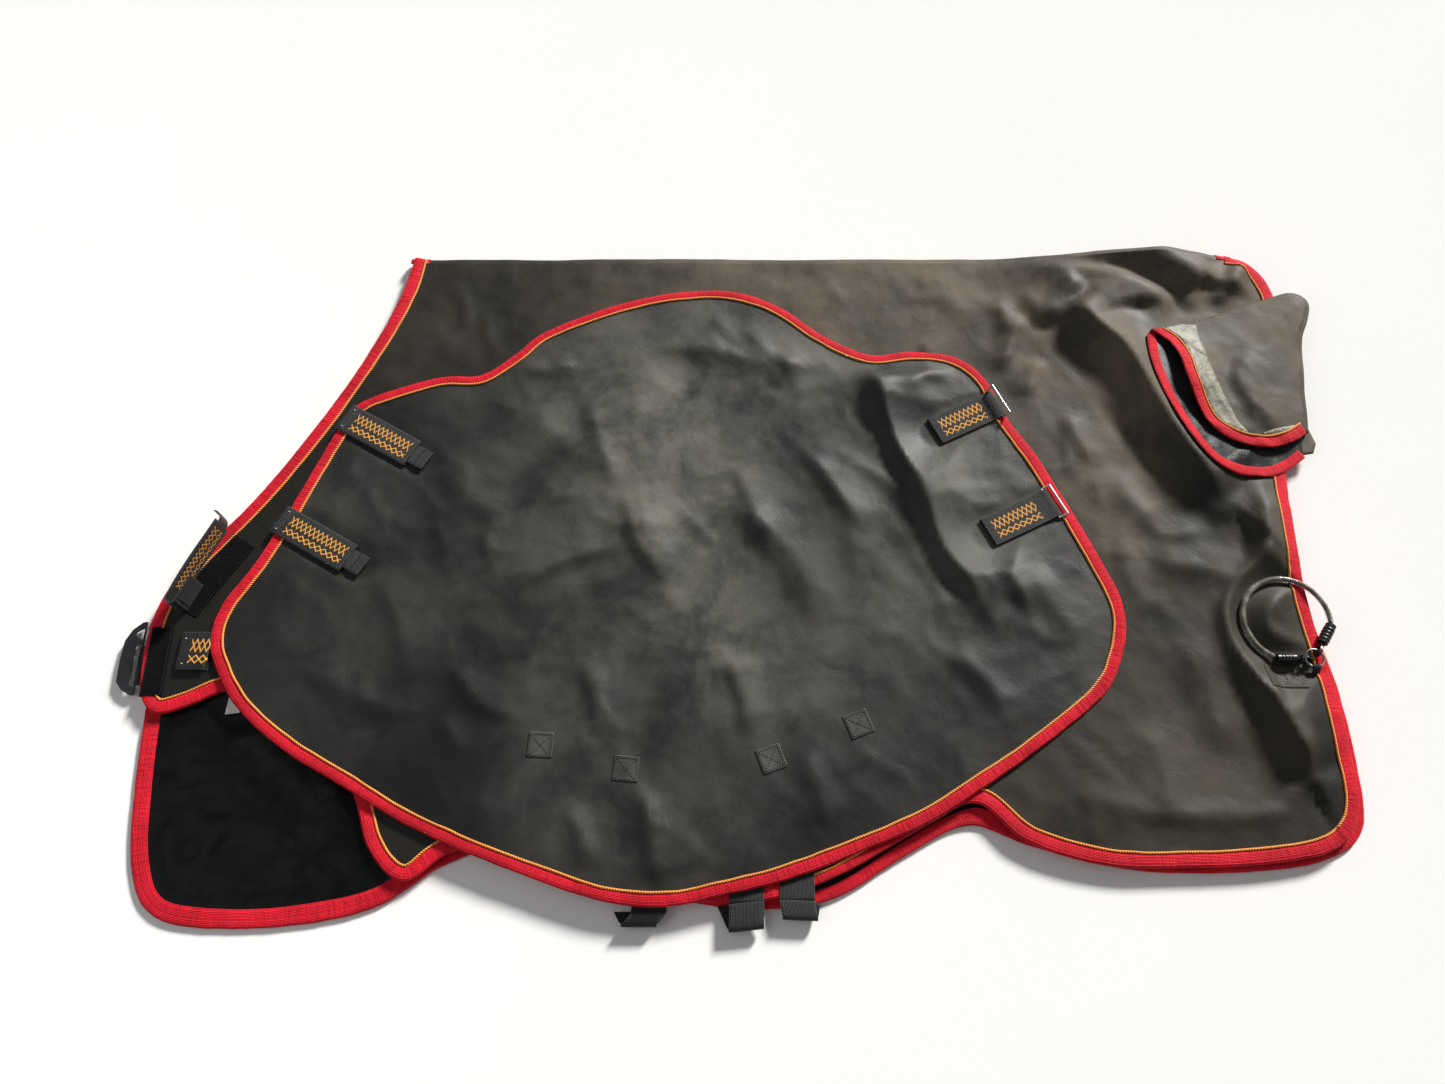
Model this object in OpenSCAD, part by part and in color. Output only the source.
// Horse turnout rug, folded in half along the spine and lying on its far side,
// with its detachable neck cover opened out flat on top of it.
// +X runs from the neck to the tail, +Y towards the spine fold, +Z up.
// The origin is in the middle of the folded rug, on the face it rests on.
// Name endings: _t thickness, _w width, _len length, _r radius, _z height, _dir angle.

/* [Cloth] */
// Thickness of the coated outer canvas
shell_t = 1.6; // [1.2:0.1:2.0]
// Thickness of the wadding between canvas and lining
fill_t = 3.0; // [2.0:0.5:4.0]
// Thickness of the lining
lining_t = 0.6; // [0.4:0.1:0.8]
// Thickness of the wadding in the neck cover
neck_fill_t = 2.4; // [1.6:0.4:3.2]
// Open height between the two linings of the folded rug
fold_gap = 4.6; // [4.4:0.1:6.0]
// Height left between the rug and the neck cover for the surcingles
cover_gap = 2.2; // [2.0:0.1:4.0]

/* [Edging] */
// Width of the woven binding that wraps every edge
bind_w = 22; // [20:1:30]
// Width of the edge binding on the far side, which shows its lining face
far_bind_w = 27; // [20:1:30]
// Width of the binding on the tail flap
flap_bind_w = 28; // [26:1:30]
// Thickness of one layer of the binding tape
bind_t = 0.6; // [0.4:0.1:0.8]
// Width of the piping along the inner side of the binding
piping_w = 3.6; // [2.4:0.2:4.4]

/* [Straps] */
// Width of the closure webbing
strap_w = 50; // [40:1:50]
// Thickness of the closure webbing
strap_t = 2.0; // [1.4:0.2:2.4]
// Length of each neck closure strap, fold to end
strap_len = 140; // [110:5:150]
// Width of the pull tab at the end of a strap
tab_w = 34; // [24:1:40]
// Length of the pull tab past the end of a strap
tab_len = 28; // [16:2:34]
// Length of the chest strap that stands on its edge
chest_len = 140; // [110:5:150]
// Length of the webbing tab that holds a keeper ring
keeper_len = 118; // [90:2:120]
// Direction of the neck straps, below the X axis
strap_dir = 30; // [20:1:40]
// Direction of the ring keepers, above the X axis
keeper_dir = 26; // [18:1:34]

/* [Rings and hooks] */
// Radius of the keeper ring wire
wire_r = 1.75; // [1.25:0.25:2.25]
// Inner length of a keeper ring, along the bar
ring_in = 52; // [51:0.5:54]
// Reach of a keeper ring past its bar, between wire centres
ring_reach = 15; // [12:1:20]
// Radius of the round ring at the tail, to the middle of the wire
tail_ring_r = 14; // [13:1:16]
// Radius of the tail ring wire
tail_wire_r = 1.8; // [1.4:0.1:2.0]
// Outer radius of a snap hook eye
eye_ro = 9.5; // [9:0.25:10]
// Inner radius of a snap hook eye
eye_ri = 6.0; // [5.5:0.25:6.25]
// Radius of the tail cord loop
cord_loop_r = 67; // [55:1:75]
// Outer diameter of the clear sleeve on the tail cord
sleeve_d = 10; // [8:0.5:11]
// Diameter of the ribbed cord inside the sleeve
core_d = 7; // [5:0.5:7]

/* [Hidden] */
$fn = 48;

gap = 0.1;        // air between parts that lie against each other
thin_gap = 0.05;  // the same under thin patches and trims

// Heights: each slot is the space inside a binding for canvas, wadding and lining
side_slot = shell_t + fill_t + lining_t + 3 * gap;
side_h = side_slot + bind_t;
axis_z = side_h + fold_gap / 2;  // axis of the spine fold
near_top = 2 * axis_z;
near_face = near_top + gap;      // where parts laid on the near side start
neck_slot = shell_t + neck_fill_t + lining_t + 3 * gap;
neck_h = neck_slot + bind_t;
neck_top = near_top + cover_gap + neck_h;
neck_face = neck_top + gap;      // where parts laid on the neck cover start

// Spine fold: its axis line, and where the side layers stop short of it
axis_y = 541;
spine_x = [-540, 888];
layer_y = axis_y - 9;

// Insets of the cloth and of the slot for it from the outer edge of the binding
cloth_inset = 2;
slot_inset = 1.8;
neck_bind_w = bind_w * 0.86;

// ---- Lines and shared shapes ----

// Catmull-Rom spline, open or closed, with the given steps for each span
function spline_point(before, start, end, after, t) =
    0.5 * (2 * start + (end - before) * t
        + (2 * before - 5 * start + 4 * end - after) * t * t
        + (3 * start - before - 3 * end + after) * t * t * t);
function open_spline(points, steps) = let (last = len(points) - 1) concat(
    [for (i = [0 : last - 1], j = [0 : steps - 1])
        spline_point(points[max(i - 1, 0)], points[i], points[i + 1],
            points[min(i + 2, last)], j / steps)],
    [points[last]]);
function closed_spline(points, steps) = let (count = len(points))
    [for (i = [0 : count - 1], j = [0 : steps - 1])
        spline_point(points[(i + count - 1) % count], points[i], points[(i + 1) % count],
            points[(i + 2) % count], j / steps)];

// A line moved to its left by a distance, open or closed
function unit(v) = v / norm(v);
function left(v) = [-v.y, v.x];
function open_inset(line, distance) = let (last = len(line) - 1)
    [for (i = [0 : last])
        line[i] + distance * left(unit(line[min(i + 1, last)] - line[max(i - 1, 0)]))];
function closed_inset(line, distance) = let (count = len(line))
    [for (i = [0 : count - 1]) line[i]
        + distance * left(unit(line[(i + 1) % count] - line[(i + count - 1) % count]))];

function reversed(line) = [for (i = [len(line) - 1 : -1 : 0]) line[i]];
function shifted(line, offset_by) = [for (point = line) point + offset_by];
// A line with its two ends carried straight to y
function capped(line, y) = concat([[line[0].x, y]], line, [[line[len(line) - 1].x, y]]);
// Unit vector at an angle
function ray(angle) = [cos(angle), sin(angle)];

// The strip between two insets of an open line
module inset_strip(line, outer, inner) {
    polygon(concat(open_inset(line, outer), reversed(open_inset(line, inner))));
}
module plate(z, height) {
    translate([0, 0, z]) linear_extrude(height) children();
}
module place(at, z, turn) {
    translate([at.x, at.y, z]) rotate([0, 0, turn]) children();
}
// Outer face turned up, at height top
module turned_over(top) {
    translate([0, 0, top]) mirror([0, 0, 1]) children();
}
module wire(start, end, radius) {
    run = end - start;
    translate(start) rotate([0, acos(run.z / norm(run)), atan2(run.y, run.x)])
        cylinder(r = radius, h = norm(run));
}
// A bar along Y, centred on the X axis
module cross_bar(radius, width, z) {
    translate([0, width / 2, z]) rotate([90, 0, 0]) cylinder(r = radius, h = width);
}

// ---- Cloth layers, outer face down at z = 0 ----

// Children: the canvas inside the piping, and the canvas under the binding
module shell_layers() {
    plate(0, shell_t) children(0);
    plate(bind_t + gap, shell_t - bind_t - gap) children(1);
}
module fill_layer(thickness) {
    plate(shell_t + gap, thickness) children();
}
module lining_layer(fill) {
    plate(shell_t + fill + 2 * gap, lining_t) children();
}
// Children: the outer edge, the inner edge, and the slot for the cloth
module binding_wrap(height, slot) {
    difference() {
        plate(0, height) children(0);
        plate(-1, height + 2) children(1);
        plate(bind_t, slot - bind_t) children(2);
    }
}
// Children: the outer edge and the inner edge
module piping_ring() {
    difference() {
        plate(0, bind_t) children(0);
        plate(-1, bind_t + 2) children(1);
    }
}

// ---- Sides of the rug ----

// Outlines from the neck end of the spine round the belly to the tail end, [x, y]
neck_edge = [[-548, axis_y], [-570, 440], [-637, 280], [-745, 90], [-850, -50]];
near_path = open_spline(concat(neck_edge, [
    [-884, -122], [-890, -205], [-880, -262], [-852, -286], [-806, -274], [-748, -250],
    [-680, -252], [-605, -305], [-545, -400], [-510, -485], [-455, -530], [-390, -490],
    [-300, -480], [-180, -525], [-50, -556], [60, -556], [170, -520], [300, -450],
    [372, -420], [440, -475], [550, -508], [680, -511], [800, -504], [890, -482],
    [930, -425], [932, -320], [928, -220], [914, -100], [918, 60], [935, 220],
    [962, 385], [966, 465], [940, 520], [892, axis_y]]), 3);
far_path = open_spline(concat(neck_edge, [
    [-878, -140], [-876, -280], [-868, -410], [-852, -510], [-815, -572], [-740, -592],
    [-600, -588], [-490, -562], [-400, -505], [-300, -480], [-180, -520], [-50, -556],
    [60, -567], [160, -552], [270, -490], [360, -450], [450, -480], [600, -514],
    [780, -514], [885, -494], [936, -450], [945, -360], [940, -240], [918, -110],
    [912, 60], [930, 220], [956, 385], [961, 465], [938, 520], [892, axis_y]]), 3);

// Cloth cut off at y
module side_sheet(path, inset, y = layer_y) {
    polygon(capped([for (point = open_inset(path, inset)) [point.x, min(point.y, y)]], y));
}
// Cutter that runs out past the spine edge
module side_cutter(path, inset) {
    polygon(capped(open_inset(path, inset), layer_y + 20));
}
module side_shell(path, width, y) {
    shell_layers() {
        side_sheet(path, width + piping_w + 2 * gap, y);
        side_sheet(path, cloth_inset, y);
    }
}
module side_fill(path) {
    fill_layer(fill_t) side_sheet(path, cloth_inset);
}
module side_lining(path) {
    lining_layer(fill_t) side_sheet(path, cloth_inset);
}
module side_binding(path, width) {
    binding_wrap(side_h, side_slot) {
        side_sheet(path, 0);
        side_cutter(path, width);
        side_cutter(path, slot_inset);
    }
}
module side_piping(path, width) {
    piping_ring() {
        side_sheet(path, width + gap);
        side_cutter(path, width + piping_w);
    }
}

// The near canvas runs on up to the spine fold
module near_shell() {
    color("#34312c") turned_over(near_top) side_shell(near_path, bind_w, axis_y - gap);
}
module near_fill() { color("#e8e6df") turned_over(near_top) side_fill(near_path); }
module near_lining() { color("#101012") turned_over(near_top) side_lining(near_path); }
module near_binding() { color("#c8102a") turned_over(near_top) side_binding(near_path, bind_w); }
module near_piping() { color("#e0912e") turned_over(near_top) side_piping(near_path, bind_w); }
module far_shell() { color("#34312c") side_shell(far_path, far_bind_w, layer_y); }
module far_fill() { color("#e8e6df") side_fill(far_path); }
module far_lining() { color("#101012") side_lining(far_path); }
module far_binding() { color("#c8102a") side_binding(far_path, far_bind_w); }
module far_piping() { color("#e0912e") side_piping(far_path, far_bind_w); }

// The canvas where it turns over the spine: half a tube about the fold's axis
module spine_fold() {
    length = spine_x[1] - spine_x[0];
    color("#3a3631") translate([spine_x[0], axis_y, axis_z]) rotate([0, 90, 0]) difference() {
        cylinder(r = axis_z, h = length);
        translate([0, 0, -1]) cylinder(r = axis_z - shell_t, h = length + 2);
        translate([-2 * axis_z, -2 * axis_z, -1]) cube([4 * axis_z, 2 * axis_z, length + 2]);
    }
}

// ---- Neck cover, outer face up ----

// Outline, anticlockwise, [x, y]
cover_path = closed_spline([
    [-508, 283], [-606, 243], [-640, 188], [-694, 55], [-736, -40], [-778, -115],
    [-788, -170], [-768, -225], [-723, -286], [-648, -345], [-548, -402], [-462, -450],
    [-375, -488], [-270, -527], [-170, -558], [-85, -566], [5, -549], [101, -526],
    [205, -487], [303, -446], [406, -384], [490, -327], [575, -260], [612, -195],
    [624, -125], [600, -45], [523, 129], [474, 214], [443, 290], [394, 332],
    [321, 342], [251, 336], [174, 374], [96, 434], [17, 464], [-70, 463],
    [-144, 449], [-212, 426], [-308, 380], [-355, 335], [-409, 296], [-460, 294]], 2);

module cover_sheet(inset) { polygon(closed_inset(cover_path, inset)); }
module neck_shell() {
    color("#26272a") turned_over(neck_top) shell_layers() {
        cover_sheet(neck_bind_w + piping_w + 2 * gap);
        cover_sheet(cloth_inset);
    }
}
module neck_fill() {
    color("#e8e6df") turned_over(neck_top) fill_layer(neck_fill_t) cover_sheet(cloth_inset);
}
module neck_lining() {
    color("#101012") turned_over(neck_top) lining_layer(neck_fill_t) cover_sheet(cloth_inset);
}
module neck_binding() {
    color("#d01230") turned_over(neck_top) binding_wrap(neck_h, neck_slot) {
        cover_sheet(0);
        cover_sheet(neck_bind_w);
        cover_sheet(slot_inset);
    }
}
module neck_piping() {
    color("#e0912e") turned_over(neck_top) piping_ring() {
        cover_sheet(neck_bind_w + gap);
        cover_sheet(neck_bind_w + piping_w);
    }
}

// Stitched reinforcement squares on the neck cover: [x, y, turn]
anchor_at = [[-270, -336, -3], [-142, -372, -5], [72, -357, 20], [203, -305, 22]];
anchor_size = 38;
anchor_t = 0.8;
module anchor_patches() {
    color("#2c2d30") for (anchor = anchor_at)
        place(anchor, neck_top + thin_gap, anchor[2])
            translate([-anchor_size / 2, -anchor_size / 2, 0])
                cube([anchor_size, anchor_size, anchor_t]);
}

// ---- Neck closure straps: a sewn lower leg and an upper leg that peels back about the fold ----

strap_at = [[-629, 215], [-711, 30]];  // fold of the upper and the lower strap
strap_axis_z = neck_face + strap_t + 0.2 + strap_t / 2;
base_shorter = 12;                     // sewn leg, less than the upper leg
tab_thinner = 0.4;                     // pull tab, less than the webbing

module neck_strap_bases() {
    color("#17181a") for (i = [0, 1]) place(strap_at[i], 0, -strap_dir)
        translate([0, -strap_w / 2, neck_face]) cube([strap_len - base_shorter, strap_w, strap_t]);
}
module neck_strap_leg(i) {
    color("#17181a") place(strap_at[i], 0, -strap_dir) {
        cross_bar(strap_t / 2, strap_w, strap_axis_z);
        translate([0, -strap_w / 2, strap_axis_z - strap_t / 2])
            cube([strap_len, strap_w, strap_t]);
    }
}
module neck_strap_tab(i) {
    color("#101113") place(strap_at[i], 0, -strap_dir)
        translate([strap_len + gap, -tab_w / 2, strap_axis_z - strap_t / 2])
            cube([tab_len, tab_w, strap_t - tab_thinner]);
}

// ---- Ring keepers: a sewn webbing tab with a loop, and a rectangular ring in it ----

keeper_at = [[456, 238], [528, 56]];  // ring bar of the upper and the lower keeper
ring_tilt = [60, 8];
keeper_t = 2.4;
keeper_bore_r = wire_r + gap;
keeper_loop_r = keeper_bore_r + 1.3;
keeper_axis_z = neck_face + keeper_loop_r;

module keeper_tabs() {
    color("#17181a") for (i = [0, 1]) place(keeper_at[i], 0, keeper_dir) difference() {
        union() {
            translate([-keeper_len, -strap_w / 2, neck_face]) cube([keeper_len, strap_w, keeper_t]);
            cross_bar(keeper_loop_r, strap_w, keeper_axis_z);
        }
        cross_bar(keeper_bore_r, strap_w + 2, keeper_axis_z);
    }
}
module keeper_ring(i) {
    y = ring_in / 2 + wire_r;
    color("#b9bbbd") place(keeper_at[i], 0, keeper_dir)
        translate([0, 0, keeper_axis_z]) rotate([0, -ring_tilt[i], 0]) union() {
            wire([0, -y, 0], [0, y, 0], wire_r);
            wire([ring_reach, -y, 0], [ring_reach, y, 0], wire_r);
            for (side = [-1, 1]) {
                wire([0, side * y, 0], [ring_reach, side * y, 0], wire_r);
                for (x = [0, ring_reach]) translate([x, side * y, 0]) sphere(r = wire_r);
            }
        }
}

// ---- Chest closure ----

hook_loop_t = 1.4;
strip_size = [144, 48];
module hook_loop_patch() {
    color("#08080a") translate([-884, -261, near_face]) cube([35, 112, hook_loop_t]);
}
module hook_loop_strip() {
    color("#08080a") place([-802, -62], near_face, 58)
        translate([-strip_size.x / 2, -strip_size.y / 2, 0])
            cube([strip_size.x, strip_size.y, hook_loop_t]);
}

// Strap that stands on its edge and turns about an upright axis
chest_axis = [-841, -119];
chest_dir = 68;
chest_r = 8;               // of the turn, to the middle of the webbing
chest_h = strap_w - 2;
chest_base_len = 42;
pull_r = 9;                // curl of the pull tab
pull_t = 1.6;
pull_margin = 8;           // webbing above and below the pull tab

// Frame with y along the strap's straight legs
module on_chest() { place(chest_axis, near_face + 1.6, chest_dir - 90) children(); }
module arc_band(radius, thickness, height, from, to) {
    rotate([0, 0, from]) rotate_extrude(angle = to - from)
        translate([radius - thickness / 2, 0]) square([thickness, height]);
}
module chest_strap() {
    color("#17181a") on_chest() union() {
        translate([-chest_r - strap_t / 2, 0, 0]) cube([strap_t, chest_len, chest_h]);
        arc_band(chest_r, strap_t, chest_h, 180, 268);
    }
}
module chest_strap_base() {
    color("#17181a") on_chest()
        translate([chest_r - strap_t / 2, 0, 0]) cube([strap_t, chest_base_len, chest_h]);
}
module chest_pull_tab() {
    color("#101113") on_chest() translate([-chest_r - pull_r, chest_len + 2 * gap, pull_margin])
        arc_band(pull_r, pull_t, chest_h - 2 * pull_margin, 2, 100);
}

// Lower chest strap, folded back on itself at its -X end
low_at = [-830, -222];
low_len = 36;
low_w = strap_w + 14;
low_fold_r = 4;
module chest_strap_low() {
    color("#17181a") translate([low_at.x, low_at.y, near_face]) union() {
        cube([low_len, low_w, strap_t]);
        translate([0, low_w, low_fold_r]) rotate([90, 0, 0]) difference() {
            cylinder(r = low_fold_r, h = low_w);
            translate([0, 0, -1]) cylinder(r = low_fold_r - strap_t, h = low_w + 2);
            translate([0, -low_fold_r - 1, -1])
                cube([low_fold_r + 2, 2 * low_fold_r + 2, low_w + 2]);
        }
        translate([0, 0, 2 * low_fold_r - strap_t]) cube([low_len, low_w, strap_t]);
    }
}

// Slotted plate, hung from a webbing tab by a bar along Y; outlines are [x, y]
plate_outline = [[-898, -139], [-903, -140], [-917, -152], [-926, -170], [-928, -200],
    [-927, -235], [-917, -248], [-903, -256], [-898, -256]];
plate_long_slot = [[-896, -175], [-896, -243], [-905, -243], [-908, -238], [-908, -180],
    [-905, -175]];
plate_short_slot = [[-896, -150], [-896, -168], [-902, -168], [-912, -161], [-910, -155],
    [-901, -150]];
plate_axis_x = -897.5;
plate_t = 3;
plate_bar_r = plate_t / 2;
plate_bar_y = -256;
plate_bar_len = 117;
plate_tab_y = -240;
plate_tab_size = [55, 62, 1.4];
plate_tab_loop_r = 2.15;

module plate_bar(radius, y, length) {
    translate([plate_axis_x, y, axis_z]) rotate([-90, 0, 0]) cylinder(r = radius, h = length);
}
module chest_plate() {
    color("#141416") union() {
        plate(axis_z - plate_t / 2, plate_t) difference() {
            polygon(plate_outline);
            polygon(plate_long_slot);
            polygon(plate_short_slot);
        }
        plate_bar(plate_bar_r, plate_bar_y, plate_bar_len);
    }
}
module chest_plate_tab() {
    color("#17181a") difference() {
        union() {
            plate_bar(plate_tab_loop_r, plate_tab_y, plate_tab_size.y);
            translate([plate_axis_x, plate_tab_y, axis_z - plate_tab_size.z / 2])
                cube(plate_tab_size);
        }
        plate_bar(plate_bar_r + gap, plate_tab_y - 1, plate_tab_size.y + 2);
    }
}
module care_label() { color("#ecebe6") translate([-752, -290, axis_z + 0.9]) cube([32, 52, 0.4]); }

// ---- Belly surcingles: webbing sewn on the near side, each ending in a loop at the belly ----

surcingle_at = [[-104, -573], [34, -563], [106, -560]];  // loop hinge, [x, y]
surcingle_reach = [18, 33, 22];                          // of each loop past its hinge
surcingle_w = 50;
surcingle_t = 1.6;
surcingle_len = 190;
surcingle_axis_z = near_top + 1.0;
surcingle_fold_r = 3.6;

module surcingles() {
    color("#141517") for (at = surcingle_at)
        translate([at.x - surcingle_w / 2, at.y + 1.4, near_face])
            cube([surcingle_w, surcingle_len, surcingle_t]);
}
// Webbing that runs out from the hinge and folds back underneath
module surcingle_loop(i) {
    at = surcingle_at[i];
    x = -surcingle_w / 2;
    leg = surcingle_reach[i] - surcingle_fold_r;
    fold_z = surcingle_t / 2 - surcingle_fold_r;
    color("#141517") translate([at.x, at.y, surcingle_axis_z]) union() {
        translate([x, 0, 0]) rotate([0, 90, 0]) cylinder(r = surcingle_t / 2, h = surcingle_w);
        translate([x, -leg, -surcingle_t / 2]) cube([surcingle_w, leg, surcingle_t]);
        translate([x, -leg, fold_z]) rotate([0, 90, 0]) difference() {
            cylinder(r = surcingle_fold_r, h = surcingle_w);
            translate([0, 0, -1])
                cylinder(r = surcingle_fold_r - surcingle_t, h = surcingle_w + 2);
            translate([-5, 0, -1]) cube([10, 6, surcingle_w + 2]);
        }
        translate([x, -leg, 2 * fold_z - surcingle_t / 2])
            cube([surcingle_w, leg - 1, surcingle_t]);
    }
}

// ---- Tail flap: two leaves joined along the fold on the +Y side ----

// The sewn edge on the +X side is a rolled seam, and the flap turns about it
flap_hinge = [[950, 170], [984, 370]];
flap_hinge_run = flap_hinge[1] - flap_hinge[0];
// Fold, and the free edge of the upper and the lower leaf, [x, y]
flap_edge = open_spline([[984, 372], [938, 440], [860, 415], [790, 390]], 3);
flap_free = open_spline([[735, 372], [758, 340], [768, 280], [786, 210], [815, 172],
    [874, 152], [948, 168]], 3);
flap_free_low = open_spline([[722, 362], [722, 300], [745, 215], [768, 145], [810, 112],
    [880, 112], [944, 134]], 3);
flap_shell_t = 1.2;
flap_gap = 1.4;               // between the linings of the two leaves
flap_inset = 1.5;             // cloth, in from the free edge
flap_slot_inset = 1.3;        // slot in the binding, in from the free edge
flap_bind_t = 0.5;
flap_bind_lap = flap_bind_w * 0.86;
flap_z = near_top + 0.6;
flap_axis_z = flap_z + flap_shell_t + lining_t + gap + flap_gap / 2;
flap_upper_z = flap_axis_z + flap_gap / 2;
flap_seam_r = flap_axis_z - flap_z;
flap_trim_z = 2 * flap_axis_z - flap_z + thin_gap;

// Rod along the sewn edge, between two fractions of its length
module flap_seam(radius, from, to) {
    start = flap_hinge[0] + from * flap_hinge_run;
    end = flap_hinge[0] + to * flap_hinge_run;
    wire([start.x, start.y, flap_axis_z], [end.x, end.y, flap_axis_z], radius);
}
module flap_leaf(free, fold) { polygon(concat(open_inset(free, flap_inset), fold)); }
module flap_shell() {
    color("#4a463f") union() {
        plate(flap_z, flap_shell_t) flap_leaf(flap_free_low, flap_edge);
        plate(flap_upper_z + lining_t + gap, flap_shell_t) flap_leaf(flap_free, flap_edge);
        // wall that joins the leaves along the fold
        plate(flap_z, 2 * flap_seam_r) difference() {
            polygon(concat(flap_edge, reversed(shifted(flap_edge, [0, -flap_shell_t]))));
            translate([900, 100]) square([100, 274]);
        }
        flap_seam(flap_seam_r, 0.14, 0.9);
    }
}
module flap_lining() {
    fold = shifted(flap_edge, [-2, -4]);
    color("#101012") difference() {
        union() {
            plate(flap_z + flap_shell_t + gap, lining_t) flap_leaf(flap_free_low, fold);
            plate(flap_upper_z, lining_t) flap_leaf(flap_free, fold);
        }
        flap_seam(flap_seam_r + 2 * gap, 0.12, 0.92);
    }
}
// Tape wrapped round the free edge of one leaf
module flap_band(free, z) {
    leaf_h = flap_shell_t + lining_t + gap;
    difference() {
        plate(z - flap_bind_t, leaf_h + 2 * flap_bind_t) inset_strip(free, 0, flap_bind_lap);
        plate(z - gap, leaf_h + 2 * gap) inset_strip(free, flap_slot_inset, flap_bind_w);
        translate([955, 100, z - 2]) cube([60, 300, 8]);
    }
}
module flap_binding() {
    color("#c8102a") union() {
        flap_band(flap_free_low, flap_z);
        flap_band(flap_free, flap_upper_z);
    }
}
module flap_piping() {
    color("#e0912e") plate(flap_trim_z, 0.6) difference() {
        inset_strip(flap_free, flap_bind_lap + gap, flap_bind_lap + piping_w);
        translate([945, 100]) square([100, 100]);
    }
}
module reflective_strip() {
    inner_edge = flap_bind_w + piping_w;
    color("#b9bcb8") plate(flap_trim_z, 0.3) difference() {
        inset_strip(flap_free, inner_edge + 1, inner_edge + 36);
        translate([872, 100]) square([150, 150]);
        translate([700, 376]) square([150, 60]);
    }
}
// Sewn tape beside the flap's hinge line, on the near side
module flap_tape() {
    color("#17181a")
        place(flap_hinge[0], near_face, atan2(flap_hinge_run.y, flap_hinge_run.x) - 90)
            translate([-24, 40, 0]) cube([16, 130, 0.4]);
}

// ---- Tail cord: two barrels with snap hooks, clipped to a ring on a webbing tab ----

ring_at = [903, -203];
ring_z = near_top + 10.4;
ring_tab_w = 10;
ring_tab_loop_r = 4.3;
ring_tab_bore_r = 3.0;

// Hooks a and b: direction out from the ring, and barrel sizes
hook_dir = [180, 56];
barrel_r = [6.2, 8];
barrel_len = [28, 34];
neck_len = 15;             // from the eye's centre to the barrel
barrel_start = neck_len + 2 * gap;
eye_at = [for (angle = hook_dir) ring_at + tail_ring_r * ray(angle)];

module tail_anchor_patch() { color("#2a2825") translate([824, -251, near_face]) cube([62, 40, 0.9]); }
module tail_ring() {
    color("#9a9c9e") translate([ring_at.x, ring_at.y, ring_z])
        rotate_extrude() translate([tail_ring_r, 0]) circle(tail_wire_r, $fn = 32);
}
// Loop round the -Y side of the ring, an upright leg, and a leg sewn down
module tail_ring_tab() {
    x = ring_at.x - ring_tab_w / 2;
    y = ring_at.y - tail_ring_r;
    color("#17181a") difference() {
        union() {
            translate([x, y, ring_z]) rotate([0, 90, 0])
                cylinder(r = ring_tab_loop_r, h = ring_tab_w);
            translate([x, y - ring_tab_loop_r, near_face])
                cube([ring_tab_w, 2.4, ring_z - near_face]);
            translate([x, y - 28, near_face]) cube([ring_tab_w, 26, 2.0]);
        }
        translate([x - 1, y, ring_z]) rotate([0, 90, 0])
            cylinder(r = ring_tab_bore_r, h = ring_tab_w + 2);
    }
}

// Cord path: an arc of cord_loop_r through the outer ends of the two barrels
cord_end = [for (i = [0, 1]) eye_at[i] + (barrel_start + barrel_len[i]) * ray(hook_dir[i])];
chord = cord_end[1] - cord_end[0];
cord_centre = (cord_end[0] + cord_end[1]) / 2
    + left(unit(chord)) * sqrt(pow(cord_loop_r, 2) - pow(norm(chord) / 2, 2));
function cord_angle(i) = let (arm = cord_end[i] - cord_centre) atan2(arm.y, arm.x);
cord_trim = 5;             // degrees left off each end of the arc

module cord_arc(outer_r, inner_r) {
    from = cord_angle(1) + cord_trim;
    to = cord_angle(0) + 360 - cord_trim;
    place(cord_centre, ring_z, from) rotate_extrude(angle = to - from, $fn = 72)
        translate([cord_loop_r, 0]) difference() {
            circle(outer_r, $fn = 24);
            if (inner_r > 0) circle(inner_r, $fn = 24);
        }
}
module tail_cord() { color("#1a1b1d") cord_arc(core_d / 2, 0); }
module tail_cord_sleeve() { color("#c8cccb", 0.35) cord_arc(sleeve_d / 2, core_d / 2 + 0.15); }

// Barrel, with a bore for the hook's swivel post
module barrel(i) {
    place(eye_at[i], ring_z, hook_dir[i]) rotate([0, 90, 0])
        translate([0, 0, barrel_start]) difference() {
            cylinder(r = barrel_r[i], h = barrel_len[i]);
            translate([0, 0, -1]) cylinder(r = 2.1, h = 8);
        }
}
module tail_cord_barrels() { color("#101113") union() { for (i = [0, 1]) barrel(i); } }

// Snap hook in its own plane: x along the barrel, y up, z across; the gate closes the
// gap over the eye and turns on a pin
hook_t = 6;
gate_t = 3;
gate_slot = 3.4;           // width and radius of the pocket for the gate's knuckle
gate_play = 0.3;           // between the gate and the eye's two rims
pin_r = 0.85;
pin_at = eye_ro * 0.82 * ray(40);

module in_hook(i) { place(eye_at[i], ring_z, hook_dir[i]) rotate([90, 0, 0]) children(); }
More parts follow.
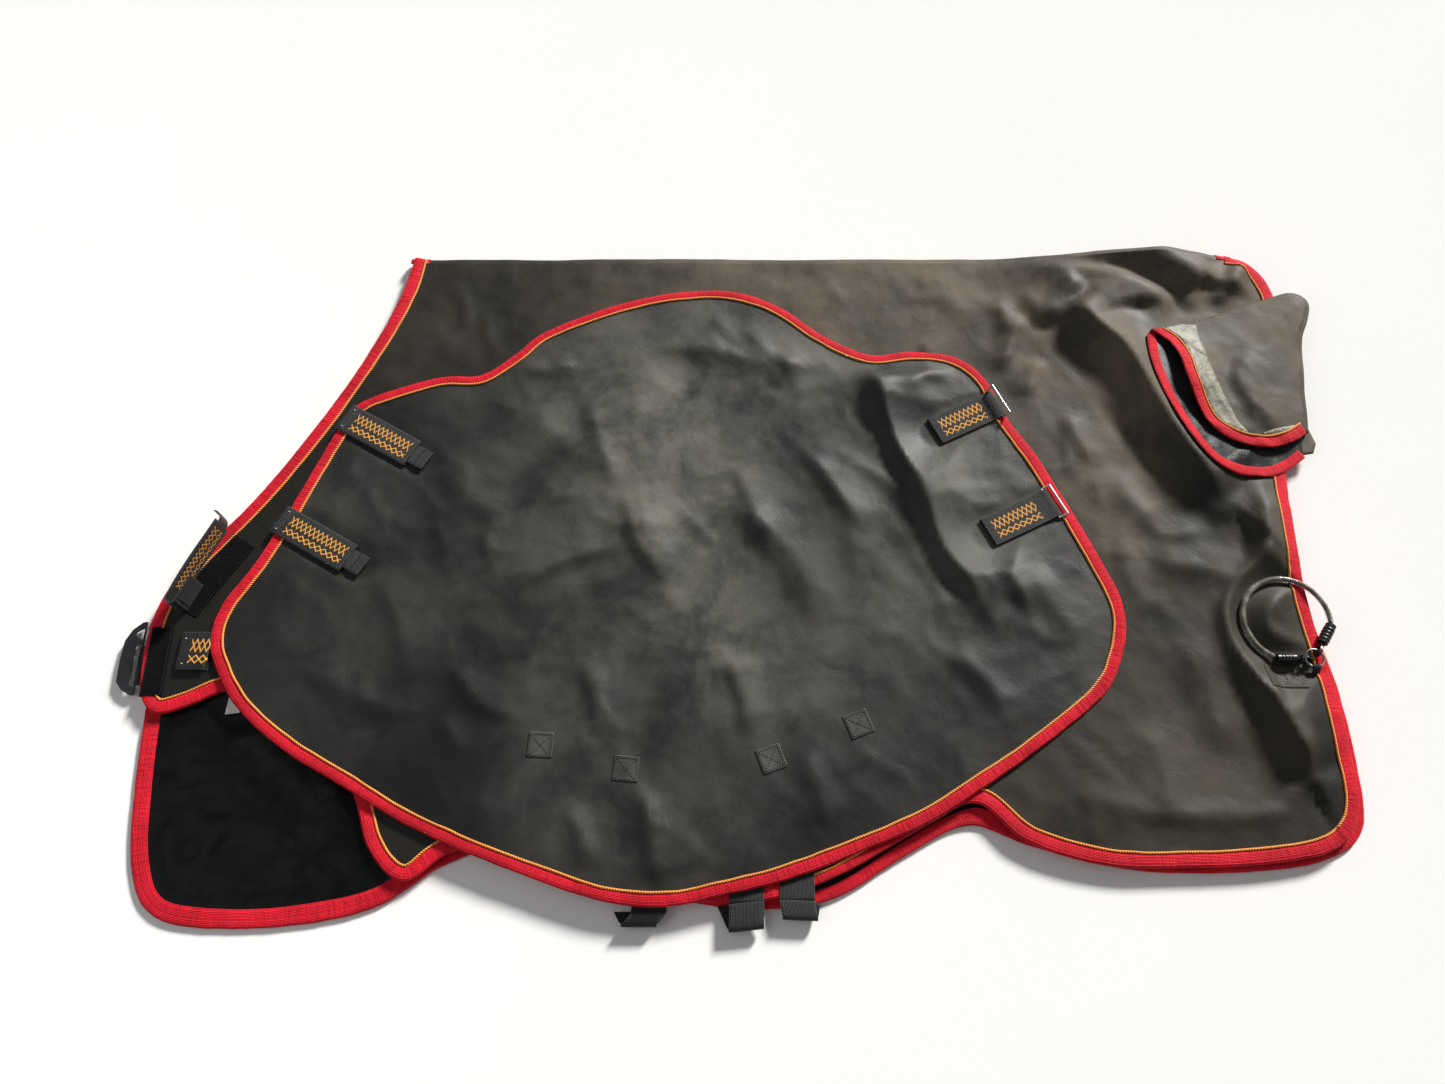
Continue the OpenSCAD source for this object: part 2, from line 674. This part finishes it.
// Wedge from the eye's centre through rays at the given angles
module sector(angles) { polygon(concat([[0, 0]], [for (angle = angles) 20 * ray(angle)])); }
module snap_hook(i) {
    color("#101113") in_hook(i) union() {
        difference() {
            plate(-hook_t / 2, hook_t) difference() {
                union() {
                    circle(eye_ro);
                    translate([0, -4]) square([neck_len - 0.8, 8]);
                }
                circle(eye_ri);
                sector([48, 75, 102]);
            }
            translate([pin_at.x, pin_at.y, -gate_slot / 2]) cylinder(r = gate_slot, h = gate_slot);
            // notch in the nose, where the gate's tip seats and swings in
            plate(-gate_slot / 2, gate_slot) sector([95, 118]);
        }
        translate([pin_at.x, pin_at.y, -hook_t / 2]) cylinder(r = pin_r, h = hook_t);
        // swivel post, turning in the barrel
        translate([neck_len - 1, 0, 0]) rotate([0, 90, 0]) cylinder(r = 2.02, h = 6.5);
    }
}
module snap_gate(i) {
    color("#2b2d30") in_hook(i) plate(-gate_t / 2, gate_t) difference() {
        union() {
            translate(pin_at) circle(1.75);
            intersection() {
                difference() {
                    circle(eye_ro - gate_play);
                    circle(eye_ri + gate_play);
                }
                sector([47, 74, 99]);
            }
        }
        translate(pin_at) circle(pin_r + 0.08);
    }
}

near_shell();
near_fill();
near_lining();
near_binding();
near_piping();
spine_fold();
far_shell();
far_fill();
far_lining();
far_binding();
far_piping();
neck_shell();
neck_fill();
neck_lining();
neck_binding();
neck_piping();
neck_strap_bases();
neck_strap_leg(0);  // neck_strap_upper
neck_strap_tab(0);  // neck_strap_upper_tab
neck_strap_leg(1);  // neck_strap_lower
neck_strap_tab(1);  // neck_strap_lower_tab
keeper_tabs();
keeper_ring(0);  // keeper_ring_upper
keeper_ring(1);  // keeper_ring_lower
anchor_patches();
chest_strap_base();
chest_strap();
chest_pull_tab();
chest_strap_low();
hook_loop_strip();
hook_loop_patch();
chest_plate();
chest_plate_tab();
care_label();
surcingles();
surcingle_loop(0);  // surcingle_loop_a
surcingle_loop(1);  // surcingle_loop_b
surcingle_loop(2);  // surcingle_loop_c
flap_shell();
flap_lining();
flap_binding();
flap_piping();
reflective_strip();
flap_tape();
tail_anchor_patch();
tail_ring_tab();
tail_ring();
tail_cord();
tail_cord_sleeve();
tail_cord_barrels();
snap_hook(0);  // snap_hook_a
snap_gate(0);  // snap_gate_a
snap_hook(1);  // snap_hook_b
snap_gate(1);  // snap_gate_b
